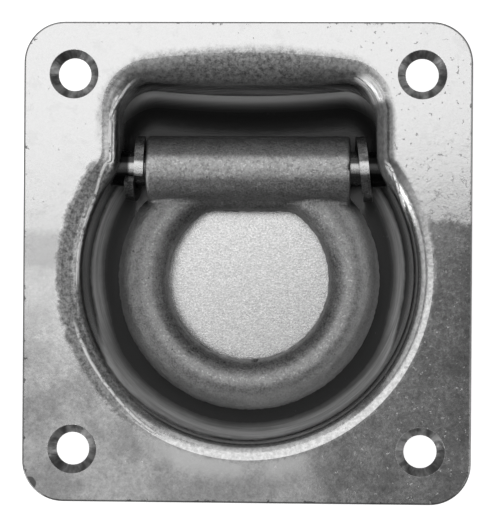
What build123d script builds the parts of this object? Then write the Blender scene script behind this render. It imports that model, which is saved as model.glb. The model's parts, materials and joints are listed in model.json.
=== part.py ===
from build123d import *
from math import cos, radians, sin, sqrt, tan
import os

# Recessed lashing ring, in millimetres. The plate's centre is at x = y = 0, the underside of the
# recess's floor is at z = 0, and the hinge runs along X near the plate's +Y end.

# Pan: one pressing in zinc-plated sheet
sheet = 2.5
flange_beside_bowl = 8.0
flange_beyond_crown = 6.2
flange_corner = 9.0
flange_edge_roll = 0.5
screw_from_side = 11.0
screw_from_end = 11.5
screw_hole = 7.2
countersink_width = 10.8
countersink_angle = 90.0

# Recess, given where the flange's face starts to bend into the wall
recess_depth = 17.5
bowl_centre_y = -2.5
bowl_radius = 41.0
bowl_beside_neck = 8.8
shoulder_beyond_bowl = 4.6
crown_rise = 3.2
neck_corner = 11.2
junction_blend = 5.0
bowl_draft = 4.0
neck_draft = 0.0
crown_draft = 4.0

# Radius on the hidden side of each bend; the side that shows adds the sheet
bowl_bend_inside = 2.0
neck_bend_inside = 1.45
crown_bend_inside = 7.0

# Radius between wall and floor on the side that shows: tight at the neck, beside the washers, and
# elsewhere as large as the crown's bend and a low straight wall leave room for
neck_toe = 3.0
crown_wall_height = 1.2

# How the recess is drawn, outline below outline: the first lies in the flange's face, so that the
# bend starts at a crease too faint to see, and then come so many down the bend and up from the floor
face_break = 0.015
bend_outlines = 9
toe_outlines = 8

# Forged ring with its hinge barrel
rod_diameter = 11.0
ring_inside_bowl = 12.0
ring_crest_below_hinge = 1.0
eye_flat_below_barrel = 2.0
eye_corner = 4.0
barrel_diameter = 14.6
barrel_end_round = 0.6
spot_face_clearance = 0.5
hinge_from_shoulder = 22.3
barrel_to_floor = 1.2
ring_to_floor = 0.3

# Hinge pin, riveted over outside the neck's walls
pin_diameter = 8.0
pin_running_clearance = 0.08
pin_wall_clearance = 0.05
pin_head_overhang = 0.4
pin_head_height = 2.6
pin_head_dome = 1.8
pin_head_seat_gap = 0.1

# Split spring washers; the split's angle is measured round the pin, from the side that faces up
washer_pin_clearance = 0.3
washer_radial_width = 3.0
washer_thickness = 2.0
washer_rise = 2.1
washer_slit = 11.0
washer_end_play = 1.65
left_washer_off_barrel = 0.35
right_washer_off_barrel = 0.98
left_washer_split = 26.0
left_washer_lean = -4.0
right_washer_split = 180.0
right_washer_lean = 3.0

# Sizes and places that follow from these
neck_half_width = bowl_radius - bowl_beside_neck
neck_shoulder_y = bowl_centre_y + bowl_radius + shoulder_beyond_bowl
neck_crown_y = neck_shoulder_y + crown_rise
flange_width = 2 * (bowl_radius + flange_beside_bowl)
flange_length = 2 * (neck_crown_y + flange_beyond_crown)
bends_depth = (recess_depth - crown_wall_height) / (1 - sin(radians(crown_draft)))
large_toe = bends_depth - crown_bend_inside - sheet
floor_z = sheet
flange_underside = recess_depth
flange_top = recess_depth + sheet
hinge_y = neck_shoulder_y - hinge_from_shoulder
hinge_z = floor_z + barrel_to_floor + barrel_diameter / 2
ring_plane_z = floor_z + ring_to_floor + rod_diameter / 2
ring_radius = bowl_radius - ring_inside_bowl - rod_diameter / 2
ring_centre_y = hinge_y - ring_crest_below_hinge - ring_radius
eye_flat_y = hinge_y - barrel_diameter / 2 - eye_flat_below_barrel
neck_wall_x = neck_half_width - neck_bend_inside - sheet
washer_width = washer_rise + washer_thickness
barrel_end_x = neck_wall_x - washer_width - washer_end_play
left_washer_x = -(barrel_end_x + left_washer_off_barrel + washer_width / 2)
right_washer_x = barrel_end_x + right_washer_off_barrel + washer_width / 2
spot_face_radius = pin_diameter / 2 + washer_pin_clearance + washer_radial_width + spot_face_clearance
pin_head_radius = pin_diameter / 2 + pin_head_overhang
screw_pitch_x = flange_width - 2 * screw_from_side
screw_pitch_y = flange_length - 2 * screw_from_end


def wall_inset(down, bend, draft, toe):
    """How far a wall stands in from the start of its bend, at a depth below that start."""
    lean = radians(draft)
    bend_ends = bend * (1 - sin(lean))
    toe_starts = recess_depth - toe * (1 - sin(lean))
    if down < bend_ends:
        return sqrt(bend**2 - (bend - down) ** 2)
    wall = bend * cos(lean) + (min(down, toe_starts) - bend_ends) * tan(lean)
    if down <= toe_starts:
        return wall
    above_floor = recess_depth - down
    return wall + toe * cos(lean) - sqrt(toe**2 - (toe - above_floor) ** 2)


def keyhole_outline(level_z, down, skin):
    """The recess's outline at one depth: a round bowl under a square neck with a crowned end.

    The skin is the sheet for the side that shows and nothing for the hidden side."""

    def inset(bend_inside, draft, toe):
        return wall_inset(down, bend_inside + skin, draft, toe + sheet - skin)

    neck_in = inset(neck_bend_inside, neck_draft, neck_toe)
    half = neck_half_width - neck_in
    shoulder = neck_shoulder_y - inset(neck_bend_inside, crown_draft, large_toe)
    crown = neck_crown_y - inset(crown_bend_inside, crown_draft, large_toe)
    with BuildSketch(Plane.XY.offset(level_z)) as outline:
        with BuildLine():
            Polyline((half, shoulder), (half, bowl_centre_y), (-half, bowl_centre_y), (-half, shoulder))
            ThreePointArc((-half, shoulder), (0, crown), (half, shoulder))
        make_face()
        with Locations((0, bowl_centre_y)):
            Circle(bowl_radius - inset(bowl_bend_inside, bowl_draft, large_toe))
        fillet(outline.vertices().group_by(Axis.Y)[0], junction_blend + neck_in)
        fillet(outline.vertices().group_by(Axis.Y)[-1], neck_corner - neck_in)
    return outline.sketch


def recess_outlines(face_z, skin):
    """Outlines from a face of the flange to the floor, close together at both of its ends."""
    bend_depth = (crown_bend_inside + skin) * (1 - sin(radians(crown_draft)))
    toe_height = (large_toe + sheet - skin) * (1 - sin(radians(crown_draft)))
    yield keyhole_outline(face_z, face_break, skin)
    for step in range(1, bend_outlines + 1):
        down = bend_depth * (step / bend_outlines) ** 2
        yield keyhole_outline(face_z - down, down, skin)
    for step in range(toe_outlines, -1, -1):
        down = recess_depth - toe_height * (step / toe_outlines) ** 2
        yield keyhole_outline(face_z - down, down, skin)


os.makedirs("parts", exist_ok=True)

# Pan: flat flange, then the skin of the drawn recess, then its hollow one sheet's thickness inside it
with BuildPart() as recess_pan:
    with BuildSketch(Plane.XY.offset(flange_underside)):
        RectangleRounded(flange_width, flange_length, flange_corner)
    extrude(amount=sheet)
    rim = recess_pan.faces().sort_by(Axis.Z)[-1].edges()
    fillet(rim, flange_edge_roll)
    for outline in recess_outlines(flange_underside, 0):
        add(outline)
    loft()
    for outline in recess_outlines(flange_top, sheet):
        add(outline)
    loft(mode=Mode.SUBTRACT)
    with Locations((0, 0, flange_top)):
        with GridLocations(screw_pitch_x, screw_pitch_y, 2, 2):
            CounterSinkHole(screw_hole / 2, countersink_width / 2, 2 * sheet, countersink_angle)
    with Locations((0, hinge_y, hinge_z)):
        wall_hole = pin_diameter / 2 + pin_wall_clearance
        Cylinder(wall_hole, flange_width, rotation=(0, 90, 0), mode=Mode.SUBTRACT)
recess_pan.part.label = "recess_pan"
export_step(recess_pan.part, "parts/recess_pan.step")

# Ring: round rod forged to a D, whose straight side runs under the barrel that turns on the pin.
# The barrel's ends are spot-faced, so that the arms beside them clear the washers as the ring turns.
with BuildPart() as lashing_ring:
    with Locations((0, hinge_y, hinge_z)):
        Cylinder(barrel_diameter / 2, 2 * barrel_end_x, rotation=(0, 90, 0))
    fillet(lashing_ring.edges().filter_by(GeomType.CIRCLE), barrel_end_round)
    with BuildSketch(Plane.XY.offset(ring_plane_z), mode=Mode.PRIVATE) as rod_centreline:
        with Locations((0, ring_centre_y)):
            Circle(ring_radius)
        with Locations((0, eye_flat_y + rod_diameter / 2)):
            Rectangle(2 * ring_radius, ring_radius, align=(Align.CENTER, Align.MIN), mode=Mode.SUBTRACT)
        fillet(rod_centreline.vertices(), eye_corner + rod_diameter / 2)
    rod_path = rod_centreline.sketch.wire()
    with BuildSketch(Plane(origin=rod_path @ 0, z_dir=rod_path % 0)):
        Circle(rod_diameter / 2)
    sweep(path=rod_path)
    with Locations((0, hinge_y, hinge_z)):
        bore = pin_diameter / 2 + pin_running_clearance
        Cylinder(bore, flange_width, rotation=(0, 90, 0), mode=Mode.SUBTRACT)
    for side in (-1, 1):
        with Locations((side * (barrel_end_x + washer_width), hinge_y, hinge_z)):
            Cylinder(spot_face_radius, 2 * washer_width, rotation=(0, 90, 0), mode=Mode.SUBTRACT)
lashing_ring.part.label = "lashing_ring"
export_step(lashing_ring.part, "parts/lashing_ring.step")

# What the pin's heads close on: the bowl bulges past the neck's wall beside the pin
with BuildPart() as head_seat:
    add(recess_pan.part)
    with Locations((0, hinge_y, hinge_z)):
        Cylinder(pin_head_radius, flange_width, rotation=(0, 90, 0), mode=Mode.INTERSECT)
head_seat_x = head_seat.part.bounding_box().max.X + pin_head_seat_gap

# Pin: plain shank through both walls, closed by a low domed rivet head at each end
with BuildPart() as hinge_pin:
    with Locations((0, hinge_y, hinge_z)):
        Cylinder(pin_diameter / 2, 2 * head_seat_x, rotation=(0, 90, 0))
    for side in (-1, 1):
        with Locations((side * (head_seat_x + pin_head_height / 2), hinge_y, hinge_z)):
            Cylinder(pin_head_radius, pin_head_height, rotation=(0, 90, 0))
    head_rims = hinge_pin.edges().filter_by(GeomType.CIRCLE).group_by(Axis.X)
    fillet(head_rims[0] + head_rims[-1], pin_head_dome)
hinge_pin.part.label = "hinge_pin"
export_step(hinge_pin.part, "parts/hinge_pin.step")

# Spring washer: one turn of square-cut wire, its ends sprung apart along the pin
with BuildPart() as washer_coil:
    washer_turn = 360 - washer_slit
    coil_radius = pin_diameter / 2 + washer_pin_clearance + washer_radial_width / 2
    with BuildLine() as coil_line:
        Helix(washer_rise * 360 / washer_turn, washer_rise, coil_radius, center=(0, 0, -washer_rise / 2))
    with BuildSketch(Plane.XZ):
        with Locations((coil_radius, -washer_rise / 2)):
            Rectangle(washer_radial_width, washer_thickness)
    sweep(path=coil_line.wire(), is_frenet=True)

# Each washer leans a little on the pin, as the ring's weight has left it
washer_places = {
    "left_spring_washer": (left_washer_x, left_washer_split, left_washer_lean),
    "right_spring_washer": (right_washer_x, right_washer_split, right_washer_lean),
}
for washer_name, (washer_x, split_angle, lean_angle) in washer_places.items():
    split_up = Vector(0, -sin(radians(split_angle)), cos(radians(split_angle)))
    along_pin = Vector(cos(radians(lean_angle)), sin(radians(lean_angle)), 0)
    seat = Plane(origin=(washer_x, hinge_y, hinge_z), x_dir=split_up, z_dir=along_pin)
    with BuildPart(seat) as spring_washer:
        add(washer_coil.part)
    spring_washer.part.label = washer_name
    export_step(spring_washer.part, f"parts/{washer_name}.step")
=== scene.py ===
import json
import math

import bmesh
import bpy
from mathutils import Euler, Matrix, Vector

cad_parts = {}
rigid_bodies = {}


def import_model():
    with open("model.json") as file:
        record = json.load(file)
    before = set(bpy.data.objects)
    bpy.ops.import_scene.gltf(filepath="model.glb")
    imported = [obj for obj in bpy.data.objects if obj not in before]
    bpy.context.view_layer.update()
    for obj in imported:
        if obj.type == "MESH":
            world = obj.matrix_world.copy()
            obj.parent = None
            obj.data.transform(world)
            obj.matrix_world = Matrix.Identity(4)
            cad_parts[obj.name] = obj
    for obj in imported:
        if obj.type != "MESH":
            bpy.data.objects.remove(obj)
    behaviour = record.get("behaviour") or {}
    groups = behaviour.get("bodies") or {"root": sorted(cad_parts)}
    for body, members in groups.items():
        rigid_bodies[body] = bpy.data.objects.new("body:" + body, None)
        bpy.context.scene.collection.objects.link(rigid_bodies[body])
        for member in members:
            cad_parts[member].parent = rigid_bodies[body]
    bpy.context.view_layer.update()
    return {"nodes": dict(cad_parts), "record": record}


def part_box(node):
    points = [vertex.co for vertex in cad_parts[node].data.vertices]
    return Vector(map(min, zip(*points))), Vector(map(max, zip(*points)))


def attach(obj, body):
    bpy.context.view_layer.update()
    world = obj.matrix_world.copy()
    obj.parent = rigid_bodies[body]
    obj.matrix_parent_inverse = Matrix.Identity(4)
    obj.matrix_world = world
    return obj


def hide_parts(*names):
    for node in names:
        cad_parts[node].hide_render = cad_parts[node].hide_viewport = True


# Bare stage: only the recessed lashing ring's own pieces come in
for leftover in list(bpy.data.objects):
    bpy.data.objects.remove(leftover)
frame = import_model()


# Recess pan: one deep-drawn pressing in bright zinc-plated sheet, 2.5 mm thick, held to a floor by
# four countersunk screws. It carries everything else. Its shape comes with the frame, and its
# finish is made here.
MM = 1000.0
flange_corner = 9.0
flange_beside_bowl = 8.0
flange_beyond_crown = 6.2
bowl_beside_neck = 8.8
shoulder_beyond_bowl = 4.6
crown_rise = 3.2
neck_corner = 11.2
countersink_radius = 5.4
eye_x, eye_y, eye_radius = 0.6, -3.7, 19.5
# Where the streaks of painted highlight sit at the recess's top right corner, and how they are
# stretched
streaks_x, streaks_y, streaks_stretch = 26.6, 37.92, 1.25
pan_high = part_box("recess_pan")[1] * MM
flange_face = pan_high.z
mounts = {mount["name"]: mount for mount in frame["record"]["mounts"]}
sheet = flange_face - mounts["flange_underside"]["pos_m"][2] * MM
screws = mounts["flange_screws"]["dims"]
screw_half_x = screws["spacing_x_mm"] / 2
screw_half_y = screws["spacing_y_mm"] / 2
bowl_radius = pan_high.x - flange_beside_bowl
neck_half_width = bowl_radius - bowl_beside_neck
crown_y = pan_high.y - flange_beyond_crown
shoulder_y = crown_y - crown_rise
bowl_y = shoulder_y - shoulder_beyond_bowl - bowl_radius

# Tones of the zinc, from 0 for black to 1 for white
# Of these, the second and the third are painted: a bright reflection and a highlight line
clean_tone, reflection_bright_tone, highlight_tone = 0.67, 0.98, 0.97
stain_tone, speck_tone, crazed_tone = 0.50, 0.34, 0.30
# Of these, the first and the last are painted shade: round the ring and behind the barrel
ring_shade_tone, outline_tone, barrel_shade_tone = 0.13, 0.12, 0.035


def put(tree, kind, sockets=None, **settings):
    """A node with its settings, its sockets set to values or joined to other nodes' outputs."""
    made = tree.nodes.new(kind)
    for name, value in settings.items():
        setattr(made, name, value)
    for key, value in (sockets or {}).items():
        if isinstance(value, bpy.types.NodeSocket):
            tree.links.new(value, made.inputs[key])
        else:
            made.inputs[key].default_value = value
    return made


def reckon(tree, operation, result, *others):
    """One step of arithmetic on values or outputs, taken again for each further one."""
    if not others:
        return put(tree, "ShaderNodeMath", {0: result}, operation=operation).outputs[0]
    for other in others:
        result = put(tree, "ShaderNodeMath", {0: result, 1: other}, operation=operation).outputs[0]
    return result


def times(tree, *values):
    """The product of several values or outputs."""
    return reckon(tree, "MULTIPLY", *values)


def total(tree, *values):
    """The sum of several values or outputs."""
    return reckon(tree, "ADD", *values)


def less(tree, value, taken):
    """What is left of a value when another is taken from it."""
    return reckon(tree, "SUBTRACT", value, taken)


def ratio(tree, value, unit):
    """How many times the unit goes into the value."""
    return reckon(tree, "DIVIDE", value, unit)


def larger(tree, *values):
    """The largest of several values or outputs."""
    return reckon(tree, "MAXIMUM", *values)


def smaller(tree, *values):
    """The smallest of several values or outputs."""
    return reckon(tree, "MINIMUM", *values)


def off_zero(tree, value):
    """How far a value lies from zero, on either side."""
    return reckon(tree, "ABSOLUTE", value)


def reach(tree, along_x, along_y):
    """How far a place lies from a point, from its distances along two directions."""
    squares = total(tree, times(tree, along_x, along_x), times(tree, along_y, along_y))
    return reckon(tree, "SQRT", squares)


def distance(tree, place, point):
    """How far a place lies from a given point."""
    apart = put(tree, "ShaderNodeVectorMath", {0: place, 1: point}, operation="DISTANCE")
    return apart.outputs["Value"]


def ease(tree, value, low, high, at_low=0.0, at_high=1.0):
    """A value that goes smoothly from at_low to at_high while the input goes from low to high."""
    sockets = {"Value": value, "From Min": low, "From Max": high,
               "To Min": at_low, "To Max": at_high}
    eased = put(tree, "ShaderNodeMapRange", sockets, interpolation_type="SMOOTHSTEP")
    return eased.outputs["Result"]


def fade(tree, value, full, gone):
    """A mask that is full up to one value and has gone by the other."""
    return ease(tree, value, full, gone, 1.0, 0.0)


def between(tree, value, start, full, still_full, end):
    """A mask that rises from start to full and falls again from still_full to end."""
    return times(tree, ease(tree, value, start, full), fade(tree, value, still_full, end))


def blend_value(tree, mask, without, with_it):
    """One value where the mask is 0 and the other where it is 1."""
    sockets = {"Value": mask, "From Min": 0.0, "From Max": 1.0,
               "To Min": without, "To Max": with_it}
    return put(tree, "ShaderNodeMapRange", sockets).outputs["Result"]


def layered(tree, base, *layers):
    """A base value with layers laid over it in turn, each a mask and the value it shows."""
    for mask, value in layers:
        base = blend_value(tree, mask, base, value)
    return base


def resized(tree, place, factor):
    """The place with all three directions scaled alike."""
    sockets = {0: place, "Scale": factor}
    return put(tree, "ShaderNodeVectorMath", sockets, operation="SCALE").outputs["Vector"]


def stretched(tree, place, along_x, along_y, along_z):
    """The place with each direction scaled, so that a pattern on it comes out stretched."""
    sockets = {0: place, 1: (along_x, along_y, along_z)}
    return put(tree, "ShaderNodeVectorMath", sockets, operation="MULTIPLY").outputs["Vector"]


def joined(tree, x, y, z):
    """A place made of three parts."""
    return put(tree, "ShaderNodeCombineXYZ", {0: x, 1: y, 2: z}).outputs[0]


def parted(tree, place):
    """The three parts of a place."""
    parts = put(tree, "ShaderNodeSeparateXYZ", {0: place}).outputs
    return parts["X"], parts["Y"], parts["Z"]


def place_in_mm(tree):
    """The place on the piece in millimetres, and its three parts."""
    place = resized(tree, put(tree, "ShaderNodeTexCoord").outputs["Object"], MM)
    return place, *parted(tree, place)


def cloudy(tree, place, scale, detail, roughness=0.5):
    """Clouds of about one over the scale in size, mostly near a half."""
    sockets = {"Vector": place, "Scale": scale, "Detail": detail, "Roughness": roughness}
    return put(tree, "ShaderNodeTexNoise", sockets).outputs["Fac"]


def new_group(name, inputs, outputs):
    """An empty shader group with named inputs and outputs, and its inner input and output."""
    tree = bpy.data.node_groups.new(name, "ShaderNodeTree")
    for label, kind, value in inputs:
        socket = tree.interface.new_socket(name=label, in_out="INPUT", socket_type=kind)
        if value is not None:
            socket.default_value = value
    for label in outputs:
        tree.interface.new_socket(name=label, in_out="OUTPUT", socket_type="NodeSocketFloat")
    return tree, tree.nodes.new("NodeGroupInput"), tree.nodes.new("NodeGroupOutput")


def use_group(tree, group, **sockets):
    """The outputs of a group placed in a material."""
    return put(tree, "ShaderNodeGroup", sockets, node_tree=group).outputs


def new_metal(name):
    """A metal finish, its nodes and the shader that they feed."""
    metal = bpy.data.materials.new(name)
    metal.use_nodes = True
    shader = metal.node_tree.nodes["Principled BSDF"]
    shader.inputs["Metallic"].default_value = 1.0
    return metal, metal.node_tree, shader


def lay_finish(tree, shader, tone, roughness, relief):
    """Gives the shader an untinted tone, a roughness and a relief in millimetres."""
    colour = put(tree, "ShaderNodeCombineColor", {0: tone, 1: tone, 2: tone})
    bump = put(tree, "ShaderNodeBump", {"Height": relief, "Distance": 1 / MM, "Strength": 1.0})
    tree.links.new(colour.outputs[0], shader.inputs["Base Color"])
    tree.links.new(roughness, shader.inputs["Roughness"])
    tree.links.new(bump.outputs["Normal"], shader.inputs["Normal"])


# Grain: the fine crystalline speckle of a plated or scaled surface, as a tone and a height
surface_grain, inside, outside = new_group(
    "surface_grain",
    [("Place", "NodeSocketVector", None), ("Size", "NodeSocketFloat", 0.5),
     ("Contrast", "NodeSocketFloat", 1.0)],
    ["Tone", "Height"],
)
per_mm = ratio(surface_grain, 1.0, inside.outputs["Size"])
speckle = cloudy(surface_grain, inside.outputs["Place"], per_mm, 3.0, 0.65)
swing = times(surface_grain, less(surface_grain, speckle, 0.5), inside.outputs["Contrast"])
grain_tone = put(surface_grain, "ShaderNodeMath", {0: swing, 1: 0.5},
                 operation="ADD", use_clamp=True)
surface_grain.links.new(grain_tone.outputs[0], outside.inputs["Tone"])
surface_grain.links.new(speckle, outside.inputs["Height"])

# Blotches: patches with a ragged edge, for stains, stretched plating and dull spots
ragged_blotches, inside, outside = new_group(
    "ragged_blotches",
    [("Place", "NodeSocketVector", None), ("Size", "NodeSocketFloat", 3.0),
     ("Cover", "NodeSocketFloat", 0.5), ("Edge", "NodeSocketFloat", 0.1)],
    ["Mask"],
)
per_mm = ratio(ragged_blotches, 1.0, inside.outputs["Size"])
cloud = cloudy(ragged_blotches, inside.outputs["Place"], per_mm, 5.0, 0.6)
above = less(ragged_blotches, cloud, less(ragged_blotches, 1.0, inside.outputs["Cover"]))
softness = inside.outputs["Edge"]
blotch = ease(ragged_blotches, above, times(ragged_blotches, softness, -1.0), softness)
ragged_blotches.links.new(blotch, outside.inputs["Mask"])

# Recess edge: how far a place lies inside the line where the flange starts to bend, in the
# keyhole's plan, and in which direction it lies from the bowl's middle
recess_edge, inside, outside = new_group(
    "recess_edge", [("Place", "NodeSocketVector", None)], ["Inset", "East", "North"])
across, along, _ = parted(recess_edge, inside.outputs["Place"])
from_bowl = less(recess_edge, along, bowl_y)
radius = reach(recess_edge, across, from_bowl)
inset_bowl = less(recess_edge, bowl_radius, radius)
off_side = less(recess_edge, neck_half_width, off_zero(recess_edge, across))
share = ratio(recess_edge, across, neck_half_width)
crowned = blend_value(recess_edge, times(recess_edge, share, share), crown_y, shoulder_y)
off_crown = less(recess_edge, crowned, along)
to_corner = [larger(recess_edge, less(recess_edge, neck_corner, off), 0.0)
             for off in (off_side, off_crown)]
nearest = smaller(recess_edge, off_side, off_crown)
past_corner = larger(recess_edge, less(recess_edge, nearest, neck_corner), 0.0)
rounded_off = times(recess_edge, reach(recess_edge, *to_corner), -1.0)
in_square = total(recess_edge, neck_corner, rounded_off, past_corner)
inset_neck = smaller(recess_edge, in_square, from_bowl)
for label, value in (("Inset", larger(recess_edge, inset_bowl, inset_neck)),
                     ("East", ratio(recess_edge, across, radius)),
                     ("North", ratio(recess_edge, from_bowl, radius))):
    recess_edge.links.new(value, outside.inputs[label])

zinc_plate, tree, zinc = new_metal("bright_zinc_plating")
place, x_mm, y_mm, z_mm = place_in_mm(tree)
edge = use_group(tree, recess_edge, Place=place)
inset, east, north = edge["Inset"], edge["East"], edge["North"]
depth = less(tree, flange_face, z_mm)
off_middle = off_zero(tree, x_mm)
off_east = off_zero(tree, east)

# Where on the pan, with borders that wander a little. The numbers are millimetres on the pan: where
# a finish starts to show and where it shows in full
wander = less(tree, cloudy(tree, place, 0.45, 5.0, 0.65), 0.5)
ragged_inset = total(tree, inset, times(tree, wander, 3.0))
facing_hinge = ease(tree, y_mm, 27.0, 33.0)
past_bend = less(tree, inset, blend_value(tree, facing_hinge, 3.6, 9.0))
in_bend = times(tree, ease(tree, ragged_inset, -0.6, 0.6), fade(tree, past_bend, 0.0, 1.0))
in_wall = times(tree, ease(tree, depth, 1.8, 4.5), ease(tree, z_mm, sheet + 0.3, sheet + 2.0))
on_floor = ease(tree, z_mm, sheet + 1.2, sheet + 0.2)

# Orange peel: the plating's grain opened up where the sheet stretched, on the left and at the
# crown;
# its dark tone is painted reflection of the dark room in the bend
left_peel = times(tree, ease(tree, east, -0.45, -0.75), ease(tree, y_mm, 24.0, 20.0),
                  ease(tree, ragged_inset, -1.1, -0.1))
crown_peel = times(tree, facing_hinge, ease(tree, x_mm, 31.0, 25.0),
                   ease(tree, ragged_inset, -1.7, 1.2))
crown_ends = times(tree, facing_hinge, ease(tree, off_middle, 7.0, 21.0))
orange_peel = times(tree, larger(tree, left_peel, crown_peel), ease(tree, depth, 6.0, 3.4),
                    blend_value(tree, crown_ends, 1.0, 0.62))

# Painted shade low in the recess, where the ring and walls shade it: behind the barrel and round
# the ring
from_eye = reach(tree, less(tree, x_mm, eye_x), less(tree, y_mm, eye_y))
outside_eye = larger(tree, ease(tree, from_eye, eye_radius, eye_radius + 2.5),
                     ease(tree, y_mm, 12.0, 14.5))
painted_shade_round_ring = times(tree, outside_eye, ease(tree, depth, 7.0, 14.5))
painted_shade_behind_barrel = times(tree, ease(tree, y_mm, 22.0, 25.0), ease(tree, depth, 12.5, 16.5))

# Painted reflection: the toe is painted lighter in a line above the dark gap, where it catches
# light from the ring and the room; the zinc is made rougher and chalky there too
toe_line = total(tree, 5.9, times(tree, east, 0.3),
                 times(tree, ease(tree, north, -0.2, -0.6), -1.3), times(tree, wander, 0.5))
round_toe_light = times(tree, between(tree, less(tree, inset, toe_line), -0.3, 0.3, 0.5, 3.2),
                  ease(tree, y_mm, 24.0, 16.0), outside_eye)
crown_toe_light_and_chalk = times(tree, facing_hinge, ease(tree, depth, 7.5, 9.2), ease(tree, depth, 16.5, 11.5),
                  ease(tree, off_middle, 29.5, 22.0))
toe_light_and_chalk = larger(tree, round_toe_light, crown_toe_light_and_chalk)

# Painted shade on both walls of the neck, which are painted dark grey and made chalky; on the right
# the grey starts at the flange
neck_start = ease(tree, x_mm, -5.0, 5.0, 3.4, -0.3)
neck_wall_shade_and_chalk = times(tree, ease(tree, y_mm, 14.0, 22.0), ease(tree, off_middle, 22.0, 27.0),
                  ease(tree, less(tree, inset, neck_start), 0.0, 1.2),
                  ease(tree, depth, 14.0, 10.0),
                  ease(tree, total(tree, y_mm, times(tree, inset, -0.6)), 36.5, 33.0))

# Painted highlight: a bright line along the bend where it would catch a low light, also made
# rougher,
# chalky and raised a little: its inset above and below the bowl's middle and in the neck, and the
# stretches where it shows
highlight_inset_above = total(tree, 1.8, times(tree, ease(tree, off_east, 0.77, 0.93), 2.0))
highlight_inset_below = ease(tree, north, -0.62, -0.92, 1.9, 0.9)
highlight_inset_neck = total(tree, 2.2, times(tree, ease(tree, y_mm, 31.0, 37.0), 1.4))
highlight_inset_bowl = blend_value(tree, ease(tree, y_mm, -5.0, -9.0), highlight_inset_above, highlight_inset_below)
highlight_inset_bowl = total(tree, highlight_inset_bowl, times(tree, wander, 0.35))
in_neck = ease(tree, y_mm, 20.5, 23.0)
off_highlight_line = off_zero(tree, less(tree, inset, blend_value(tree, in_neck, highlight_inset_bowl, highlight_inset_neck)))
broken = cloudy(tree, place, 0.5, 3.0, 0.7)
not_right_neck = less(tree, 1.0, times(tree, in_neck, ease(tree, x_mm, -5.0, 5.0)))
not_middle = larger(tree, ease(tree, y_mm, -7.0, -1.5), ease(tree, y_mm, -11.0, -18.0))
not_lower_right = ease(tree, less(tree, y_mm, times(tree, x_mm, 0.9)), -24.0, -14.0)
painted_highlight_line = times(tree, fade(tree, off_highlight_line, 0.10, 0.48), ease(tree, broken, 0.34, 0.50),
                  ease(tree, y_mm, 41.0, 37.5), ease(tree, off_east, 0.3, 0.5),
                  not_right_neck, not_middle, not_lower_right)

# Fine lines round the recess, and streaks of painted highlight at its top right corner
round_place = joined(tree, times(tree, inset, 1.7), times(tree, east, 1.6), times(tree, north, 1.6))
round_lines = cloudy(tree, round_place, 1.0, 4.0, 0.7)
from_corner_streaks = distance(tree, stretched(tree, place, 1.0, streaks_stretch, 0.0),
                     (streaks_x, streaks_y * streaks_stretch, 0.0))
corner_highlight = times(tree, fade(tree, from_corner_streaks, 2.4, 5.2), ease(tree, round_lines, 0.36, 0.50),
               ease(tree, inset, 1.0, 2.0), ease(tree, inset, 5.0, 3.8))
highlight_and_scuff_lines = larger(tree, painted_highlight_line, corner_highlight)

# Painted reflection: the flange is painted darker at the lower right and towards the bottom, with a
# ragged border, where it would reflect the dark room, and painted bright under the bowl, where it
# would reflect the lit ceiling; one patch on the left edge is a shade darker
drift = times(tree, less(tree, cloudy(tree, place, 0.16, 7.0, 0.72), 0.5), 18.0)
drifted_x, drifted_y = total(tree, x_mm, drift), total(tree, y_mm, drift)
painted_dark_reflection_right = times(tree, ease(tree, drifted_y, 10.5, 7.5), ease(tree, drifted_x, 6.0, 20.0))
painted_dark_reflection_below = ease(tree, drifted_y, 8.0, -34.0)
far_corner = times(tree, ease(tree, y_mm, -34.0, -46.0), ease(tree, x_mm, 26.0, 42.0))
painted_bright_reflection = times(tree, ease(tree, ragged_inset, -5.5, -1.5), ease(tree, x_mm, -24.0, -14.0),
                     ease(tree, x_mm, 15.0, 11.5), ease(tree, y_mm, -30.0, -37.0),
                     ease(tree, off_zero(tree, less(tree, x_mm, 2.0)), 0.8, 4.0))
patch_y = total(tree, y_mm, times(tree, drift, 0.35))
left_patch = times(tree, between(tree, patch_y, -4.5, 1.2, 4.2, 8.2),
                   ease(tree, x_mm, -29.0, -35.0))

# Sheared outline of the sheet, dark along its rolled edge, with small nicks and one dented corner
off_sides = [less(tree, pan_high.x, off_middle), less(tree, pan_high.y, off_zero(tree, y_mm))]
past_sides = [larger(tree, less(tree, flange_corner, off), 0.0) for off in off_sides]
off_corner = less(tree, flange_corner, reach(tree, *past_sides))
off_outline = smaller(tree, *off_sides, off_corner)
dent = (-pan_high.x + 2.4, -pan_high.y + 4.4, flange_face)
bitten = larger(tree, ease(tree, cloudy(tree, place, 0.55, 4.0, 0.7), 0.55, 0.74, 0.34, 1.2),
                ease(tree, distance(tree, place, dent), 0.6, 1.9, 1.5, 0.0))
on_outline = times(tree, fade(tree, less(tree, off_outline, bitten), -0.12, 0.22),
                   ease(tree, depth, 3.0, 1.5))

# Screw countersinks: drilled after plating, dark, with the drill's chatter round the cone
screw_x = less(tree, off_middle, screw_half_x)
screw_y = less(tree, off_zero(tree, y_mm), screw_half_y)
from_screw = reach(tree, screw_x, screw_y)
in_screw = times(tree, ease(tree, from_screw, countersink_radius + 0.02, countersink_radius - 0.10),
                 ease(tree, depth, 0.01, 0.06))
round_screw = joined(tree, ratio(tree, screw_x, from_screw), ratio(tree, screw_y, from_screw),
                     times(tree, from_screw, 0.12))
chatter = cloudy(tree, round_screw, 2.4, 3.0, 0.6)

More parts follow.
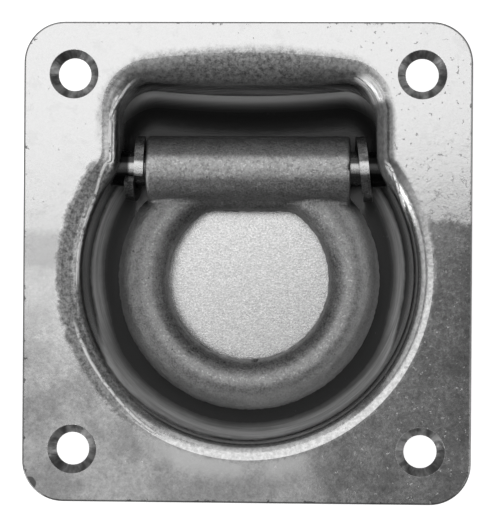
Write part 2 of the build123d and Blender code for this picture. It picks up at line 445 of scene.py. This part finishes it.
# Crystals, dark specks, stains and thin crazed lines in the plating
fine = use_group(tree, surface_grain, Place=place, Size=0.42)
coarse = use_group(tree, surface_grain, Place=place, Size=0.95)
speck_cover = ease(tree, total(tree, times(tree, x_mm, 0.012), times(tree, wander, 0.3)),
                   -0.2, 0.5, 0.285, 0.340)
speck = use_group(tree, ragged_blotches, Place=place, Size=1.1, Cover=speck_cover,
                  Edge=0.012)["Mask"]
stain_place = stretched(tree, place, 1.0, 1.0, 0.2)
stain = use_group(tree, ragged_blotches, Place=stain_place, Size=4.5, Cover=0.40, Edge=0.05)["Mask"]
handled = use_group(tree, ragged_blotches, Place=place, Size=1.5, Cover=0.5, Edge=0.12)["Mask"]
off_vein = off_zero(tree, less(tree, cloudy(tree, place, 0.30, 4.0, 0.6), 0.5))
crazed = times(tree, ease(tree, off_vein, 0.026, 0.008), ease(tree, broken, 0.50, 0.60),
               ease(tree, x_mm, 34.0, 38.0), between(tree, y_mm, 9.0, 11.0, 22.0, 30.0))

# The flange's plating, from its clean tone up
plating_tone = total(tree, clean_tone, times(tree, fine["Tone"], 0.08),
                     times(tree, coarse["Tone"], 0.08))
clouding = ease(tree, cloudy(tree, place, 0.11, 4.0, 0.6), 0.36, 0.64, 0.80, 1.22)
mottle = total(tree, times(tree, less(tree, fine["Tone"], 0.5), 1.1),
               times(tree, less(tree, coarse["Tone"], 0.5), 0.9),
               times(tree, less(tree, handled, 0.5), 0.22), 1.0)
# Tones of the painted dark reflection at the right and towards the bottom
right_tone = times(tree, mottle, clouding, total(tree, 0.24, times(tree, painted_dark_reflection_below, 0.27),
                                                 times(tree, far_corner, 0.14)))
below_tone = times(tree, blend_value(tree, 0.75, 1.0, mottle), clouding, 0.66)
flange_tone = layered(
    tree, plating_tone,
    (times(tree, speck, 0.7), speck_tone),
    (times(tree, stain, 0.14), stain_tone),
    (times(tree, crazed, 0.6), crazed_tone),
    (times(tree, painted_dark_reflection_right, 0.9), right_tone),
    (times(tree, painted_dark_reflection_below, less(tree, 1.0, painted_dark_reflection_right), 0.85), below_tone),
    (times(tree, painted_bright_reflection, 0.85), reflection_bright_tone),
)
flange_tone = times(tree, flange_tone, ease(tree, left_patch, 0.0, 1.0, 1.0, 0.79))

# The recess with its painted shade, reflections and highlights, the countersinks and the outline,
# laid over the flange's plating
# Painted shade: the bend is painted darker where it turns steeply down
shaded_bend_tone = times(tree, ease(tree, coarse["Tone"], 0.3, 0.7, 0.54, 0.76),
                  ease(tree, inset, 1.7, 3.4, 1.0, 0.5))
peel_grain = total(tree, times(tree, coarse["Tone"], 0.6), times(tree, fine["Tone"], 0.4))
# Painted reflection: the orange peel is painted dark, darkest towards the far left
peel_tone_with_dark_reflection = times(tree, ease(tree, peel_grain, 0.32, 0.68, 0.15, 0.58),
                  ease(tree, east, -0.85, -0.4, 0.80, 1.0))
floor_grain = total(tree, times(tree, coarse["Tone"], 0.3), times(tree, fine["Tone"], 0.7))
toe_lines = total(tree, round_lines, times(tree, crown_toe_light_and_chalk, 0.25))
tone = layered(
    tree, flange_tone,
    (in_bend, shaded_bend_tone),
    (orange_peel, peel_tone_with_dark_reflection),
    # Painted shade: the recess's wall is painted dark
    (in_wall, ease(tree, round_lines, 0.35, 0.68, 0.20, 0.44)),
    (on_floor, ease(tree, floor_grain, 0.36, 0.64, 0.72, 1.0)),
    (painted_shade_round_ring, ring_shade_tone),
    (neck_wall_shade_and_chalk, ease(tree, coarse["Tone"], 0.3, 0.7, 0.15, 0.24)),
    (toe_light_and_chalk, ease(tree, toe_lines, 0.35, 0.65, 0.58, 0.96)),
    (painted_shade_behind_barrel, barrel_shade_tone),
    (highlight_and_scuff_lines, highlight_tone),
    (in_screw, ease(tree, chatter, 0.36, 0.72, 0.12, 0.40)),
    (times(tree, on_outline, 0.85), outline_tone),
)

# Low in the recess and along the highlight lines the zinc is chalky rather than bright
low_chalk = times(tree, outside_eye, larger(tree, ease(tree, depth, 3.0, 7.0), toe_light_and_chalk))
chalky = larger(tree, times(tree, low_chalk, 0.55), times(tree, highlight_and_scuff_lines, 0.75),
                times(tree, crown_toe_light_and_chalk, 0.9),
                times(tree, neck_wall_shade_and_chalk, ease(tree, inset, 1.2, 3.4), 0.85))
tree.links.new(less(tree, 1.0, chalky), zinc.inputs["Metallic"])

roughness = layered(
    tree, total(tree, 0.13, times(tree, coarse["Tone"], 0.08), times(tree, speck, 0.15)),
    (in_bend, 0.20), (orange_peel, 0.34), (in_wall, 0.26), (on_floor, 0.24), (toe_light_and_chalk, 0.50),
    (highlight_and_scuff_lines, 0.34), (in_screw, 0.34),
)
relief = total(tree, times(tree, cloudy(tree, place, 0.22, 3.0, 0.55), 0.020),
               times(tree, fine["Height"], 0.008), times(tree, coarse["Height"], 0.006),
               times(tree, speck, -0.02), times(tree, coarse["Height"], in_bend, 0.015),
               times(tree, coarse["Height"], orange_peel, 0.06),
               times(tree, fine["Height"], on_floor, 0.022),
               times(tree, round_lines, in_wall, 0.05),
               times(tree, highlight_and_scuff_lines, 0.13), times(tree, chatter, in_screw, 0.22))
lay_finish(tree, zinc, tone, roughness, relief)
frame["nodes"]["recess_pan"].material_slots[0].material = zinc_plate


# Lashing ring: one drop forging, a round rod bent to a D with a hinge barrel across its top. The
# forging skin is rough and lightly scaled under its zinc, and a little of the trimmed flash is left
# round it. It turns on the pin.
ring_low, ring_high = (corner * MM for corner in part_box("lashing_ring"))
hinge_y, hinge_z = (part * MM for part in frame["record"]["behaviour"]["joints"][0]["pos_m"][1:])
pin_radius = 4.0
bore_radius = pin_radius + 0.08
barrel_top = hinge_z + 7.3
rod_radius = 5.5
parting_z = ring_low.z + rod_radius
ring_outside = (ring_high.x - ring_low.x) / 2
ring_y = ring_low.y + ring_outside
rod_middle = ring_outside - rod_radius
forged_tone = 0.06
skin_step = 0.36
skin_unevenness = 0.10
flash_height = 0.22
nick = (1.5, ring_low.y + 2 * rod_radius + 0.2, parting_z + 1.6)
knock = (ring_high.x - 6.4, hinge_y + 0.4, barrel_top - 0.1)


def own_copy(node_name, new_name):
    """A copy of a frame's piece, its loose triangles joined and its place kept in its mesh."""
    source = frame["nodes"][node_name]
    mesh = source.data.copy()
    mesh.name = new_name
    mesh.transform(source.matrix_world)
    shape = bmesh.new()
    shape.from_mesh(mesh)
    bmesh.ops.remove_doubles(shape, verts=shape.verts, dist=1e-6)
    shape.to_mesh(mesh)
    shape.free()
    copy = bpy.data.objects.new(new_name, mesh)
    bpy.context.scene.collection.objects.link(copy)
    return copy


def make_solid(piece):
    """Keeps what the piece's modifiers make in its mesh, and takes the modifiers off."""
    evaluated = piece.evaluated_get(bpy.context.evaluated_depsgraph_get())
    mesh = bpy.data.meshes.new_from_object(evaluated)
    piece.modifiers.clear()
    piece.data = mesh
    for face in mesh.polygons:
        face.use_smooth = True


forged_zinc, tree, forging = new_metal("forged_zinc_skin")
forging.inputs["Metallic"].default_value = 0.92
place, x_mm, y_mm, z_mm = place_in_mm(tree)
fine = use_group(tree, surface_grain, Place=place, Size=0.40, Contrast=2.2)
coarse = use_group(tree, surface_grain, Place=place, Size=0.9, Contrast=1.4)
worn_specks = use_group(tree, ragged_blotches, Place=place, Size=0.6, Cover=0.40, Edge=0.03)["Mask"]
scale_marks = use_group(tree, ragged_blotches, Place=place, Size=2.6, Cover=0.5, Edge=0.08)["Mask"]
pits = use_group(tree, ragged_blotches, Place=place, Size=0.7, Cover=0.31, Edge=0.02)["Mask"]

# Painted highlights on the crests of the barrel and the rod, the barrel's also a little smoother;
# painted shade on the inside of the rod and behind the hinge; the rod's outside painted lighter,
# more on the right than on the left
barrel_crest_highlight = times(tree, ease(tree, z_mm, barrel_top - 0.7, barrel_top - 0.1),
                     ease(tree, coarse["Tone"], 0.30, 0.55, 0.45, 1.0))
behind = ease(tree, y_mm, hinge_y + 1.2, hinge_y + 4.0)
off_ring = reach(tree, x_mm, less(tree, y_mm, ring_y))
below_barrel = ease(tree, y_mm, 14.0, 11.0)
inner_side_shade = times(tree, ease(tree, off_ring, rod_middle - 1.8, rod_middle - 3.8), below_barrel)
off_crest = off_zero(tree, less(tree, off_ring, rod_middle - 1.0))
rod_crest_highlight = times(tree, fade(tree, off_crest, 0.3, 1.9), below_barrel)
outer_side_light = times(tree, ease(tree, off_ring, rod_middle + 0.8, rod_middle + 3.0), below_barrel,
                   ease(tree, x_mm, -20.0, 12.0, 0.7, 1.7))
tone = total(tree, forged_tone, times(tree, fine["Tone"], 0.24), times(tree, coarse["Tone"], 0.14),
             times(tree, scale_marks, 0.04), times(tree, barrel_crest_highlight, 0.24),
             times(tree, rod_crest_highlight, 0.12), times(tree, inner_side_shade, -0.09),
             times(tree, outer_side_light, 0.13),
             times(tree, worn_specks, larger(tree, rod_crest_highlight, barrel_crest_highlight), 0.22))
# Painted shade on the barrel's side behind the hinge
tone = times(tree, tone, ease(tree, behind, 0.0, 1.0, 1.0, 0.60))
tone = blend_value(tree, pits, tone, 0.10)
roughness = total(tree, ease(tree, fine["Tone"], 0.2, 0.8, 0.34, 0.50),
                  times(tree, barrel_crest_highlight, -0.06))
relief = total(tree, times(tree, fine["Height"], 0.14), times(tree, coarse["Height"], 0.10),
               times(tree, pits, -0.05))
lay_finish(tree, forging, tone, roughness, relief)

# Forged skin: hammered unevenness, the line of trimmed flash, a nick inside the ring's free end and
# a knock on the barrel, all moved along the surface's own direction; the bore stays round
tree = forged_skin = bpy.data.node_groups.new("forged_skin", "GeometryNodeTree")
tree.interface.new_socket(name="Geometry", in_out="INPUT", socket_type="NodeSocketGeometry")
uneven_input, flash_input = (
    tree.interface.new_socket(name=name, in_out="INPUT", socket_type="NodeSocketFloat").identifier
    for name in ("Unevenness", "Flash"))
tree.interface.new_socket(name="Geometry", in_out="OUTPUT", socket_type="NodeSocketGeometry")
inside = tree.nodes.new("NodeGroupInput").outputs
outside = tree.nodes.new("NodeGroupOutput").inputs
place = resized(tree, put(tree, "GeometryNodeInputPosition").outputs[0], MM)
along_pin, y_mm, z_mm = parted(tree, place)
off_y, off_z = less(tree, y_mm, hinge_y), less(tree, z_mm, hinge_z)
off_pin = reach(tree, off_y, off_z)
to_bore = ratio(tree, bore_radius, off_pin)
bore_place = joined(tree, along_pin, total(tree, hinge_y, times(tree, off_y, to_bore)),
                    total(tree, hinge_z, times(tree, off_z, to_bore)))
true_bore = put(tree, "GeometryNodeSetPosition",
                {"Geometry": inside["Geometry"],
                 "Selection": reckon(tree, "LESS_THAN", off_pin, bore_radius + 0.6),
                 "Position": resized(tree, bore_place, 1 / MM)})
hammered = cloudy(tree, place, 0.17, 2.0)
scaled = cloudy(tree, place, 0.75, 3.0, 0.6)
pitted = cloudy(tree, place, 1.5, 2.0)
uneven = total(tree, times(tree, less(tree, hammered, 0.55), 2.0),
               times(tree, less(tree, scaled, 0.52), 0.9),
               times(tree, ease(tree, pitted, 0.40, 0.30), -0.5))
off_parting = off_zero(tree, less(tree, z_mm, parting_z))
flash_line = times(tree, fade(tree, off_parting, 0.15, 0.75), ease(tree, off_y, -7.0, -9.5),
                   ease(tree, scaled, 0.35, 0.60, 0.35, 1.0))
moved = total(tree, times(tree, uneven, inside["Unevenness"]),
              times(tree, flash_line, inside["Flash"]),
              times(tree, fade(tree, distance(tree, place, nick), 0.3, 1.1), -0.55),
              times(tree, fade(tree, distance(tree, place, knock), 0.2, 1.2), -0.45))
offset = resized(tree, put(tree, "GeometryNodeInputNormal").outputs[0], times(tree, moved, 1 / MM))
worked = put(tree, "GeometryNodeSetPosition",
             {"Geometry": true_bore.outputs[0],
              "Selection": reckon(tree, "GREATER_THAN", off_pin, bore_radius + 0.9),
              "Offset": offset})
real = put(tree, "GeometryNodeRealizeInstances", {0: worked.outputs[0]})
skinned = put(tree, "GeometryNodeSetMaterial",
              {"Geometry": real.outputs[0], "Material": forged_zinc})
tree.links.new(skinned.outputs[0], outside[0])

ring = own_copy("lashing_ring", "forged_ring")
even_faces = ring.modifiers.new("even_faces", "REMESH")
even_faces.mode = "VOXEL"
even_faces.voxel_size = skin_step / MM
even_faces.adaptivity = 0.0
soft_creases = ring.modifiers.new("soft_creases", "SMOOTH")
soft_creases.factor = 0.5
soft_creases.iterations = 5
skin = ring.modifiers.new("forged_skin", "NODES")
skin.node_group = forged_skin
skin[uneven_input] = skin_unevenness
skin[flash_input] = flash_height
make_solid(ring)
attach(ring, "ring")
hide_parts("lashing_ring")


# Hinge pin: 8 mm drawn steel bar, lightly plated. It goes through the barrel and both walls of the
# neck, and its two ends are riveted over outside the pan.
pin_steel, tree, drawn = new_metal("drawn_pin_steel")
place, x_mm, y_mm, z_mm = place_in_mm(tree)
fine = use_group(tree, surface_grain, Place=place, Size=0.35, Contrast=1.4)
draw_lines = cloudy(tree, stretched(tree, place, 0.15, 3.0, 3.0), 1.0, 3.0)
pin_top = hinge_z + pin_radius
# Painted highlight along the top of the pin
pin_crest_highlight = ease(tree, z_mm, pin_top - 0.22, pin_top - 0.05)
tone = total(tree, times(tree, fine["Tone"], 0.08), times(tree, draw_lines, 0.08),
             times(tree, pin_crest_highlight, 0.50))
# Painted shade: the pin is painted dark past the washers, towards the walls of the neck
tone = times(tree, tone, ease(tree, off_zero(tree, x_mm), 26.0, 26.8, 1.0, 0.10))
roughness = ease(tree, fine["Tone"], 0.2, 0.8, 0.18, 0.30)
relief = total(tree, times(tree, fine["Height"], 0.02), times(tree, draw_lines, 0.02))
lay_finish(tree, drawn, tone, roughness, relief)
frame["nodes"]["hinge_pin"].material_slots[0].material = pin_steel


# Spring washers: split rings of plated square spring wire, loose on the pin on both sides of the
# barrel. They are dark, with a painted highlight along their tops.
washer_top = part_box("right_spring_washer")[1].z * MM
washer_tone = 0.04
spring_steel, tree, wire = new_metal("plated_spring_wire")
place, x_mm, y_mm, z_mm = place_in_mm(tree)
fine = use_group(tree, surface_grain, Place=place, Size=0.32, Contrast=1.6)
worn = use_group(tree, ragged_blotches, Place=place, Size=1.6, Cover=0.5, Edge=0.08)["Mask"]
# Painted highlight along the top of each washer
washer_top_highlight = ease(tree, z_mm, washer_top - 0.20, washer_top - 0.04)
tone = total(tree, washer_tone, times(tree, fine["Tone"], 0.16), times(tree, worn, 0.08),
             times(tree, washer_top_highlight, 0.60))
roughness = ease(tree, fine["Tone"], 0.2, 0.8, 0.22, 0.38)
lay_finish(tree, wire, tone, roughness, times(tree, fine["Height"], 0.05))
for name in ("left_spring_washer", "right_spring_washer"):
    frame["nodes"][name].material_slots[0].material = spring_steel


# Floor: a plain white table under the pan, which shows white to the eye and to bright metal and
# keeps the ring's shadow.
floor_half = 1.5
table_white = (0.8, 0.8, 0.8, 1.0)
table_glow = 0.75
table_mesh = bpy.data.meshes.new("table")
table_corners = [(-floor_half, -floor_half, 0), (floor_half, -floor_half, 0),
                 (floor_half, floor_half, 0), (-floor_half, floor_half, 0)]
table_mesh.from_pydata(table_corners, [], [(0, 1, 2, 3)])
table = bpy.data.objects.new("table", table_mesh)
bpy.context.scene.collection.objects.link(table)
white_table = bpy.data.materials.new("white_table")
white_table.use_nodes = True
tree = white_table.node_tree
tree.nodes.remove(tree.nodes["Principled BSDF"])
path = put(tree, "ShaderNodeLightPath").outputs
seen = larger(tree, path["Is Camera Ray"], path["Is Glossy Ray"], path["Is Transmission Ray"])
matt = put(tree, "ShaderNodeBsdfDiffuse", {"Color": table_white})
glow = put(tree, "ShaderNodeEmission",
           {"Color": (1.0, 1.0, 1.0, 1.0), "Strength": times(tree, seen, table_glow)})
both = put(tree, "ShaderNodeAddShader", {0: matt.outputs[0], 1: glow.outputs[0]})
tree.links.new(both.outputs[0], tree.nodes["Material Output"].inputs["Surface"])
table_mesh.materials.append(white_table)


# Light: a soft ceiling in four parts, dimmer towards the lower left and the right, upright soft
# panels at the hinge end and on the left, a low strip on the right, two small low windows that pick
# out the recess's bends, and an even grey room.
ceiling = 0.62
room_grey = 0.14


def light_panel(name, low, high, radiance, turn=0.0):
    """A soft rectangular light of the given radiance between two corners, facing the part."""
    low, high = Vector(low), Vector(high)
    across = high - low
    upright = across.z != 0.0
    lamp = bpy.data.lights.new(name, "AREA")
    lamp.shape = "RECTANGLE"
    lamp.size = math.hypot(across.x, across.y) if upright else abs(across.x)
    lamp.size_y = abs(across.z) if upright else abs(across.y)
    lamp.energy = radiance * math.pi * lamp.size * lamp.size_y
    panel = bpy.data.objects.new(name, lamp)
    panel.location = (low + high) / 2
    outward = Vector((across.y, -across.x, 0.0)) if upright else Vector((0.0, 0.0, 1.0))
    if outward.dot(panel.location) < 0:
        outward.negate()
    panel.rotation_euler = outward.to_track_quat("Z", "Y").to_euler()
    panel.rotation_euler.rotate_axis("Z", turn)
    bpy.context.scene.collection.objects.link(panel)


light_panel("overhead_panel", (-0.45, 0.015, ceiling), (0.14, 0.64, ceiling), 1.0,
            math.radians(3.5))
light_panel("middle_panel", (-0.45, -0.037, ceiling), (0.045, 0.006, ceiling), 0.86,
            math.radians(1.0))
light_panel("lower_left_panel", (-0.45, -0.55, ceiling), (0.02, -0.038, ceiling), 0.31)
light_panel("right_panel", (0.22, -0.30, ceiling), (0.60, 0.60, ceiling), 0.75)
light_panel("left_wall_panel", (-0.64, -0.35, 0.16), (-0.64, 0.45, 0.60), 0.6)
light_panel("hinge_end_panel", (-0.55, 0.66, 0.16), (0.30, 0.66, 0.60), 0.7)
light_panel("right_strip", (0.62, -0.9, 0.03), (0.62, 0.9, 0.12), 1.0)
light_panel("low_left_window", (-0.36, -0.50, 0.10), (-0.58, -0.22, 0.36), 3.5)
light_panel("low_right_window", (0.56, -0.26, 0.08), (0.60, 0.08, 0.34), 1.8)
room = bpy.data.worlds.new("room")
bpy.context.scene.world = room
room.use_nodes = True
tree = room.node_tree
background = tree.nodes["Background"].inputs
background["Color"].default_value = (1.0, 1.0, 1.0, 1.0)
seen = put(tree, "ShaderNodeLightPath").outputs["Is Camera Ray"]
tree.links.new(ease(tree, seen, 0.0, 1.0, room_grey, 1.0), background["Strength"])


# Camera: straight above and a little to the right of the plate's middle, as in the photo, and
# turned by the same third of a degree.
camera_distance = 0.45
photo_width = 500
photo_height = 528
metres_a_pixel = 0.2178 / MM
plate_pixel_x = 246.5
plate_pixel_y = 262.5
lean_right = math.radians(2.5)
roll = math.radians(0.35)
camera_data = bpy.data.cameras.new("photo_camera")
camera_data.sensor_fit = "VERTICAL"
camera_data.sensor_height = 24.0
camera_data.lens = camera_data.sensor_height * camera_distance / (photo_height * metres_a_pixel)
camera = bpy.data.objects.new("photo_camera", camera_data)
bpy.context.scene.collection.objects.link(camera)
looked_at = Vector(((photo_width / 2 - plate_pixel_x) * metres_a_pixel,
                    (plate_pixel_y - photo_height / 2) * metres_a_pixel, flange_face / MM))
towards_camera = Vector((math.sin(lean_right), 0.0, math.cos(lean_right)))
camera.location = looked_at + camera_distance * towards_camera
camera.rotation_euler = Euler((0.0, lean_right, 0.0), "XYZ")
camera.rotation_euler.rotate_axis("Z", roll)
bpy.context.scene.camera = camera
bpy.context.scene.view_settings.view_transform = "Standard"
